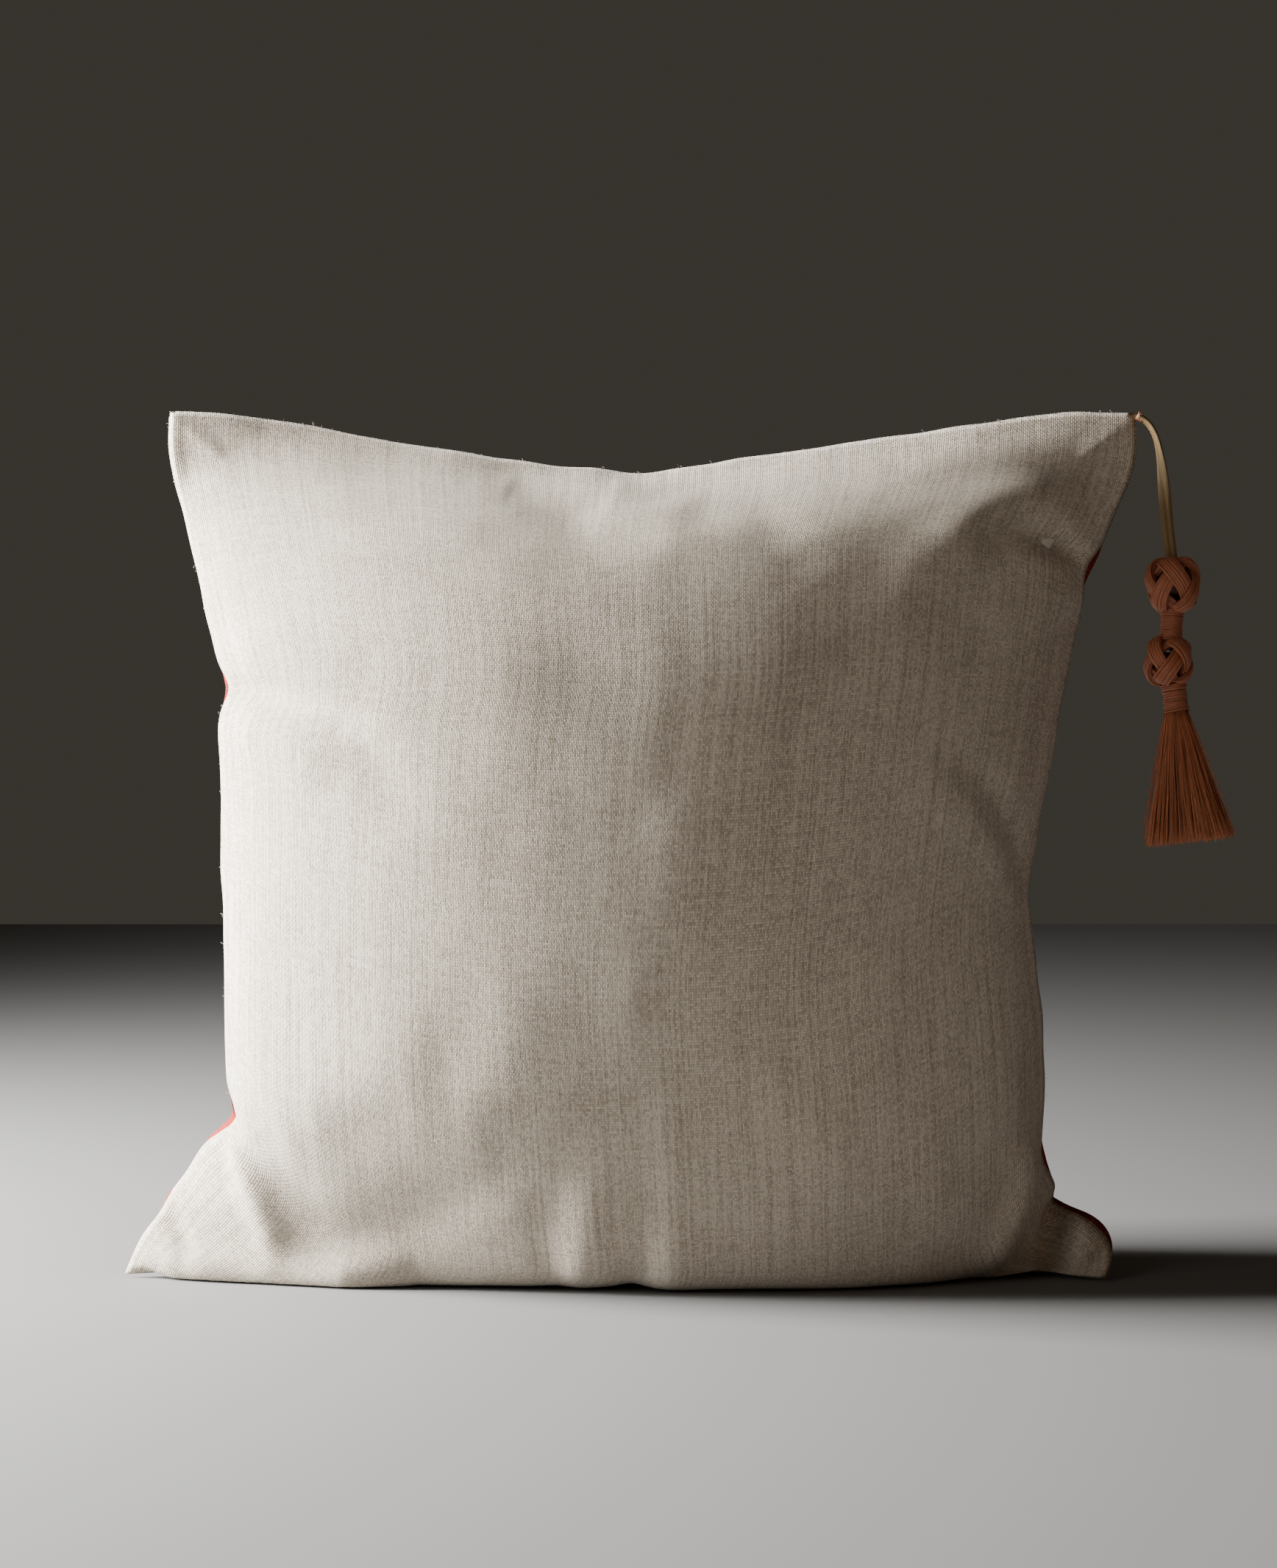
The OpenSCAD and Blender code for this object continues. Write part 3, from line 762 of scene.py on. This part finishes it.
def stray_fibres(sheet, material):
    """Short fibres that stand out from the linen along its seams."""
    draw = random.Random(31)
    n = len(sheet) - 1
    strands = Strands("stray_fibres")
    t = np.linspace(0, 1, 4)[:, None]
    for _ in range(420):
        at = draw.randint(2, n - 2)
        edge, inner = draw.choice([(sheet[-1, at], sheet[-4, at]), (sheet[-1, at], sheet[-4, at]),
                                   (sheet[at, 0], sheet[at, 3]), (sheet[at, -1], sheet[at, -4])])
        if edge[2] < 0.012:
            continue
        out = edge - inner
        out = out / np.linalg.norm(out)
        begin = edge - out * 0.0004 + np.array([0, draw.uniform(-0.0008, 0.0002), 0])
        along_out = draw.uniform(0.3, 1)
        stray = np.array([draw.uniform(-1, 1), draw.uniform(-0.5, 0.3), draw.uniform(-0.8, 0.8)])
        aim = out * along_out + stray
        aim = aim / np.linalg.norm(aim) * draw.uniform(0.0008, 0.0024)
        curl = np.cross(aim, (0, 1, 0)) * draw.uniform(-0.5, 0.5)
        strands.add(begin + aim * t + curl * np.sin(math.pi * t), (0.1, -1, 0.1), 0.00005, 0.00005, sides=3,
                    tone=draw.random())
    piece = strands.finish(material, "cushion")


def zip_stitches(sheets, material):
    """A row of stitches on each side of the zip."""
    strands = Strands("zip_stitches")
    pitch, length = 0.0032, 0.0022
    for side, sheet in sheets:
        n = len(sheet) - 1
        row = sheet[4]
        way = outward(sheet, side)[4]
        run = run_of(row)
        low = run[int(0.06 * n)]
        for k in range(int((run[int(0.94 * n)] - low) / pitch)):
            at = low + pitch * k + np.linspace(0, length, 5)
            out = at_run(at, run, way)
            bow = 0.0003 * np.sin(np.linspace(0, math.pi, 5)) - 0.0001
            place = at_run(at, run, row) + out * bow[:, None]
            place[:, 2] = np.maximum(place[:, 2], 0.0003)
            strands.add(place, out[2], 0.0002, 0.00016, sides=6, tone=0.6)
    piece = strands.finish(material, "cushion")


def cushion_pieces():
    """The cover, its threads and the pad inside it."""
    n = CLOTH
    front, back = settle_cloth(n, SETTLE_FRAMES)
    # the last colour given to each weave is painted shade for the hollows between its yarns
    linen = weave_finish("natural_linen", (0.78, 0.705, 0.595), (0.41, 0.35, 0.275), (0.5, 0.42, 0.335))
    red = weave_finish("red_cloth", (0.34, 0.024, 0.012), (0.19, 0.012, 0.007), (0.55, 0.38, 0.33), 0.6, 0.02)
    calico = plain_cloth("calico", (0.8, 0.76, 0.68), (0.7, 0.66, 0.57), 0.0006)
    stuffing = plain_cloth("stuffing", (0.86, 0.85, 0.81), (0.74, 0.73, 0.69), 0.002)
    front, back = paired(front, back)
    middle = (front + back) / 2
    cover_panel("linen_cover_front", "linen_panel", front, middle, -1, LINEN_FOLDS, 20, linen)
    cover_panel("red_cover_back", "red_panel", back, middle, 1, RED_FOLDS, 50, red)
    thread = silk_finish("sewing_thread", (0.66, 0.6, 0.5), (0.48, 0.42, 0.34), 0.2, rough=0.6)
    stray_fibres(front, thread)
    zip_stitches(((-1, front), (1, back)), thread)
    inner_pieces("pad_casing", ("pad_case_front", "pad_case_back"), front, back, 6, 0.84, calico,
                 False)
    inner_pieces("stuffing", ("pad_filling",), front, back, 8, 0.8, stuffing, True)


# ---------------------------------------------------------------- threads and strands

class Strands:
    """Threads and cords swept along their routes into one mesh."""

    def __init__(self, name):
        self.name, self.bm = name, bmesh.new()
        self.uv = self.bm.loops.layers.uv.new("run")
        self.tone = self.bm.verts.layers.float.new("tone")

    def add(self, route, facing, wide, thick, sides=8, closed=False, tone=0.5, shape=None, start=0.0):
        """facing gives each place's thin direction; wide and thick are half sizes, or one for each place."""
        route = np.asarray(route, float)
        count = len(route)
        facing = np.broadcast_to(np.asarray(facing, float), route.shape)
        wide, thick = np.broadcast_to(wide, count), np.broadcast_to(thick, count)
        if closed:
            way = np.roll(route, -1, axis=0) - np.roll(route, 1, axis=0)
        else:
            way = np.gradient(route, axis=0)
        way = unit(way)
        broad = unit(np.cross(way, facing))
        thin = np.cross(broad, way)
        run = start + run_of(route)
        rings = []
        for i in range(count):
            ring = []
            for k in range(sides):
                a = 2 * math.pi * k / sides
                x, y = shape(a) if shape else (math.cos(a), math.sin(a))
                vert = self.bm.verts.new(route[i] + broad[i] * wide[i] * x + thin[i] * thick[i] * y)
                vert[self.tone] = tone
                ring.append(vert)
            rings.append(ring)
        around = 2 * math.pi * float(np.mean(wide))
        pairs = list(zip(range(count), range(1, count))) + ([(count - 1, 0)] if closed else [])
        for i, j in pairs:
            for k in range(sides):
                m = (k + 1) % sides
                face = self.bm.faces.new((rings[i][k], rings[i][m], rings[j][m], rings[j][k]))
                face.smooth = True
                end = run[j] if j else run[-1] + run[1] - run[0]
                for loop, (u, v) in zip(face.loops, ((k, run[i]), (k + 1, run[i]), (k + 1, end), (k, end))):
                    loop[self.uv].uv = (around * u / sides, v)
        if not closed:
            for ring, flip in ((rings[0], True), (rings[-1], False)):
                face = self.bm.faces.new(ring[::-1] if flip else ring)
                face.smooth = True

    def finish(self, material, body, *nodes):
        bmesh.ops.recalc_face_normals(self.bm, faces=self.bm.faces[:])
        piece = piece_from(self.name, self.bm, material)
        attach(piece, body)
        if nodes:
            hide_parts(*nodes)
            "cord" if "cord" in nodes[0] and body == "cord" else "silk"
        return piece


# ---------------------------------------------------------------- hanging cord

CORD_ROUTE = [(0.23, 0, 0.391), (0.2326, 0, 0.3898), (0.235, 0, 0.3878), (0.237, 0, 0.385),
              (0.2386, 0, 0.3814), (0.2398, 0, 0.377), (0.2408, 0, 0.3714), (0.2416, 0, 0.365),
              (0.2423, 0, 0.358), (0.2429, 0, 0.351), (0.2435, 0, 0.344), (0.2442, 0, 0.337),
              (0.245, 0, 0.331), (0.2457, 0, 0.3252)]
CORD_TURN = [90, 90, 90, 85, 75, 60, 42, 24, 10, 2, 0, 0, 0, 0]
CORD_WIDE, CORD_THICK = 0.0056, 0.0028


def silk_finish(name, colour, dark, sheen, rough=0.42, thread=0.00042, slant=0.6):
    """Glossy twisted silk: fine threads that run slantwise along the strand."""
    f = Finish(name, Roughness=rough, Sheen_Weight=sheen, Sheen_Roughness=0.35,
               Sheen_Tint=(1.0, 0.72, 0.5, 1), Specular_IOR_Level=0.6)
    around, run, _ = f.parts(f.cloth_map("run"))
    tone = f.node("Attribute", {"attribute_name": "tone"}, {}, 2)
    lay = around + run * slant
    ridge = lay.wave(thread) * 0.5 + 0.5
    uneven = f.noise(f.joined(lay * 1700, run * 90, tone * 40), 1.0, 3.0, 0.6)
    soft = f.noise(f.place(), 260, 2.0)
    f.feed("Roughness", uneven * 0.25 + (rough - 0.12))
    tone = (uneven - 0.5) * 1.1 + soft * 0.25 + tone * 0.45 + 0.12
    return f.coat(tone, dark, colour, ridge * 0.5 + uneven * 1.6, 0.7, 0.00022)


def hanging_cord():
    """The flat cord, turned a quarter near the corner; returns it and its route."""
    count = 72
    route = smooth_route(CORD_ROUTE, count)
    turn = np.radians(np.interp(np.linspace(0, 1, count + 1), np.linspace(0, 1, len(CORD_TURN)), CORD_TURN))
    side = np.cross(unit(np.gradient(route, axis=0)), (0, 1, 0))
    facing = np.cos(turn)[:, None] * np.array([0, 1.0, 0]) + np.sin(turn)[:, None] * side

    def two_lobes(a):
        x = math.cos(a)
        return x, math.sin(a) * (1.0 - 0.42 * math.exp(-(x / 0.22) ** 2))
    strands = Strands("cord_of_silk")
    strands.add(route, facing, CORD_WIDE / 2, CORD_THICK / 2, sides=28, shape=two_lobes, tone=0.5)
    silk = silk_finish("mustard_silk", (0.3, 0.19, 0.066), (0.15, 0.095, 0.034), 0.05, rough=0.6)
    return strands.finish(silk, "cord", "hanging_cord"), route


# ---------------------------------------------------------------- tassel

def tied_knot(name, node, material, centre, radius, tall, bights, wide, thick, turned, tip=0.0):
    """A three-strand turk's head knot drawn up into a ball."""
    count = 340
    t = np.linspace(0, 2 * math.pi, count, endpoint=False)
    phase = bights * t
    lead = 3 * t + turned
    high = math.radians(62) * np.cos(phase)
    out = radius - thick - 0.0011 + 0.0014 * np.sin(2 * phase)
    out = out * (1 + 0.035 * np.sin(lead * 2 + 1.0) * np.cos(phase))
    flat = np.stack([np.cos(high) * np.cos(lead), np.cos(high) * np.sin(lead), np.sin(high)], axis=1)
    route = flat * out[:, None] * np.array([1, 1, tall])
    strands = Strands(name)
    bulge = 1 + 0.1 * np.sin(2 * phase) + 0.05 * np.sin(5 * t + 2)
    strands.add(route, flat, 0.86 * wide * bulge, 0.72 * thick * bulge, sides=14, closed=True, tone=0.2)
    way = np.roll(route, -1, axis=0) - np.roll(route, 1, axis=0)
    broad = unit(np.cross(unit(way), flat))
    draw = random.Random(int(turned * 100))
    threads = 7
    for k in range(threads):                                   # the bundle's outer threads
        x = (k + 0.5) / threads * 2 - 1 + 0.1 * np.sin(2 * t + draw.uniform(0, 6.28))
        x = np.clip(x, -0.93, 0.93) * 0.9
        up = 0.72 * thick * np.sqrt(1 - x ** 2)
        own = route + broad * (x * wide * bulge)[:, None] + flat * (up * bulge)[:, None]
        strands.add(own, flat, wide / threads * 1.35, wide / threads * 0.9, sides=7, closed=True,
                    tone=draw.uniform(0.35, 1.0))
    verts = strands.bm.verts[:]
    bmesh.ops.rotate(strands.bm, verts=verts, cent=(0, 0, 0), matrix=Matrix.Rotation(tip, 3, "Y"))
    bmesh.ops.translate(strands.bm, verts=verts, vec=centre)
    return strands.finish(material, "tassel", node)


def wound_thread(name, node, material, start, end, radius, turns, thread, body="tassel", seed=0):
    """Thread wound round and round between two places; the turns wander a little."""
    draw = random.Random(seed)
    start, end = np.array(start), np.array(end)
    axis = (end - start) / np.linalg.norm(end - start)
    across = np.cross(axis, (0, 1, 0))
    across /= np.linalg.norm(across)
    other = np.cross(axis, across)
    per = 30
    t = np.linspace(0, 1, turns * per + 1)
    drift = np.interp(t, np.linspace(0, 1, 2 * turns), [draw.uniform(-0.28, 0.28) for _ in range(2 * turns)])
    a = 2 * math.pi * turns * t
    along_axis = (t * turns + drift) / turns
    size = radius(t) if callable(radius) else np.full(len(t), radius)
    size = size + np.interp(t, np.linspace(0, 1, 3 * turns), [draw.uniform(-1, 1) * thread * 0.16
                                                              for _ in range(3 * turns)])
    spoke = np.cos(a)[:, None] * across + np.sin(a)[:, None] * other
    route = start + along_axis[:, None] * (end - start) + spoke * size[:, None]
    strands = Strands(name)
    strands.add(route, spoke, thread * 0.56, thread * 0.5, sides=6)
    return strands.finish(material, body, *([node] if node else []))


def skirt_threads(material):
    """Loose silk threads that hang in locks and spread towards their cut ends."""
    draw = random.Random(11)
    strands = Strands("skirt_threads")
    top = np.array([0.2477, 0, 0.2585])
    foot = np.array([0.2538, 0, 0.1986])
    count, lock_count, steps = 1900, 62, 9
    golden_angle = 2.39996
    locks = [(math.sqrt((k + 0.5) / lock_count), k * golden_angle + draw.uniform(-0.3, 0.3),
              draw.uniform(-1, 1), draw.uniform(0, 6.28), draw.uniform(0, 1)) for k in range(lock_count)]
    t = np.linspace(0, 1, steps)
    for k in range(count):
        spot, angle, lean, phase, lock_tone = locks[k % lock_count]
        spread = 0.15 * math.sqrt(draw.random())
        turned = draw.uniform(0, 6.28)
        at = np.array([spot * math.cos(angle) + spread * math.cos(turned),
                       spot * math.sin(angle) + spread * math.sin(turned)])
        at = at / max(1.0, np.linalg.norm(at) / 0.99)
        begin = top + np.array([at[0] * 0.0047, at[1] * 0.0047, 0])
        slope = 0.0023 * at[0] - 0.0006 * at[0] ** 2
        end = foot + np.array([at[0] * 0.02, at[1] * 0.018, slope + draw.gauss(0, 0.001)])
        middle = begin + (end - begin) * (t ** np.array([[1.06], [1.1], [1.0]])).T
        wave = t * (1.2 - t)
        own = 0.0007 * wave * np.sin(draw.uniform(5, 10) * t + draw.uniform(0, 6.28))
        middle[:, 0] += 0.0024 * wave * np.sin(5.2 * t + phase) * lean + own
        middle[:, 1] += 0.002 * wave * np.cos(4.4 * t + phase) * lean + own * 0.7
        facing = np.array([at[0] + 0.01, at[1] - 0.3, 0.0])
        facing /= np.linalg.norm(facing)
        girth = draw.uniform(0.00013, 0.00021)
        strands.add(middle, facing, girth, girth * 0.85, sides=3,
                    tone=min(1, max(0, 0.62 * lock_tone + 0.38 * draw.random())), start=draw.random())
    for _ in range(60):                                        # flyaway threads round the skirt
        angle = draw.uniform(0, 6.28)
        far = draw.uniform(0.98, 1.08)
        round_it = np.array([math.cos(angle), math.sin(angle), 0])
        end = foot + round_it * (0.0196, 0.018, 0) * far + np.array([0, 0, draw.uniform(-0.0012, 0.009)])
        bow = round_it * draw.uniform(-0.001, 0.0014)
        begin = top + round_it * 0.0046
        middle = begin + (end - begin) * t[:, None] + bow * np.sin(math.pi * t)[:, None]
        strands.add(middle, (0.3, -1, 0), 0.00009, 0.00008, sides=3, tone=draw.random())
    for k in range(3):                                         # stray fibres on the upper knot
        begin = np.array([0.2515, -0.004, 0.3245]) - (0.002 * k, 0, 0.004 * k)
        end = begin + (draw.uniform(0.001, 0.003), -0.002, draw.uniform(0.001, 0.0025))
        strands.add(begin + (end - begin) * t[:, None], (0, -1, 0.2), 0.00006, 0.00005, sides=3, tone=0.9)
    return strands.finish(material, "tassel", "skirt")


def tassel_pieces():
    silk = silk_finish("copper_silk", (0.6, 0.2, 0.092), (0.25, 0.066, 0.028), 0.2)
    skirt_silk = silk_finish("skirt_silk", (0.95, 0.315, 0.127), (0.36, 0.094, 0.036), 0.25, rough=0.5)
    upper = tied_knot("upper_knot_strands", "upper_knot", silk, (0.2464, 0, 0.3141), 0.0133, 1.12, 4, 0.004,
                      0.0025, 0.62, -0.06)
    tied_knot("lower_knot_strands", "lower_knot", silk, (0.2444, 0, 0.2792), 0.012, 1.08, 4, 0.0036, 0.0023,
              1.3, 0.07)
    wound_thread("neck_winding", "neck_binding", silk, (0.2462, 0, 0.3035), (0.2452, 0, 0.289),
                 lambda t: 0.0047 + 0.0006 * (2 * t - 1) ** 2, 19, 0.00078, seed=3)
    wound_thread("skirt_winding", "skirt_binding", silk, (0.2466, 0, 0.269), (0.248, 0, 0.2566),
                 lambda t: 0.0052 + 0.0004 * (2 * t - 1) ** 2, 16, 0.00078, seed=5)
    skirt_threads(skirt_silk)
    whipping = wound_thread("corner_whipping", "cord_whipping", silk, (0.23, 0, 0.391),
                            (0.2322, 0, 0.3899), 0.0019, 4, 0.00042, body="cord", seed=8)
    return upper, whipping


# ---------------------------------------------------------------- zip, beads and sewn-in cord end

def metal_finish():
    """Brushed and worn antique brass."""
    f = Finish("zip_metal", Metallic=1.0)
    scratch = f.noise(f.stretch(f.place(), (300, 2600, 2600)), 1.0, 3.0, 0.6)
    worn = f.noise(f.place(), 420, 3.0)
    f.feed("Roughness", scratch * 0.25 + worn * 0.15 + 0.16)
    return f.coat(worn, (0.3, 0.26, 0.2), (0.52, 0.47, 0.38), scratch, 0.2, 0.00004)


def tape_finish():
    """Herringbone polyester tape."""
    f = Finish("zip_tape", Roughness=0.8, Sheen_Weight=0.15)
    x, _, z = f.parts(f.place())
    rib = (x * (2 * math.pi / 0.0012) + z.wave(0.0016) * 2.4).sine() * 0.5 + 0.5
    tone = rib * 0.6 + f.noise(f.place(), 300, 2.0) * 0.4
    return f.coat(tone, (0.44, 0.38, 0.3), (0.66, 0.6, 0.5), rib, 0.6, 0.00012)


def teeth_finish():
    f = Finish("zip_teeth", Roughness=0.34, Subsurface_Weight=0.1)
    tint = f.noise(f.place(), 900, 2.0)
    return f.coat(tint, (0.5, 0.44, 0.35), (0.7, 0.65, 0.55), tint, 0.2, 0.00005)


def bead_finish():
    """Turned wood with rings and pores."""
    f = Finish("bead_wood", Roughness=0.5)
    place = f.stretch(f.place(), (900, 900, 160))
    rings = f.node("TexWave", {"wave_type": "RINGS"}, {"Vector": place, "Scale": 0.35, "Distortion": 3.0}, 1)
    pores = f.noise(place, 1.4, 4.0, 0.6)
    return f.coat(rings * 0.5 + pores * 0.5, (0.1, 0.04, 0.02), (0.25, 0.12, 0.055), pores, 0.3, 0.0001)


def tail_finish():
    """The flat end of the cord, sewn into the corner."""
    f = Finish("cord_end", Roughness=0.5, Sheen_Weight=0.3)
    x, _, z = f.parts(f.place())
    thread = (x + z).wave(0.0005) * 0.5 + 0.5
    tone = thread * 0.5 + f.noise(f.place(), 700, 2.0) * 0.5
    return f.coat(tone, (0.15, 0.092, 0.03), (0.33, 0.205, 0.062), thread, 0.5, 0.0001)


def finish_cad_nodes():
    """The pieces that keep their CAD shape get their materials."""
    for material, names in (
            (metal_finish(), "zip_top_stops zip_bottom_stop zip_slider zip_pull_tab"),
            (tape_finish(), "zip_tape_front zip_tape_back"),
            (teeth_finish(), "zip_teeth_front zip_teeth_back"),
            (bead_finish(), "upper_bead lower_bead"), (tail_finish(), "cord_tail")):
        for name in names.split():
            for held in bpy.data.objects[name].material_slots:
                held.material = material


cord, cord_route = hanging_cord()
upper_knot, whipping = tassel_pieces()
cushion_pieces()
finish_cad_nodes()

bpy.ops.mesh.primitive_plane_add(size=6)
floor = bpy.context.object
floor.name = "floor"
pale = Finish("pale_floor", Roughness=0.9, Base_Color=(0.155, 0.155, 0.152, 1))
floor.data.materials.append(pale.material)
make_studio()
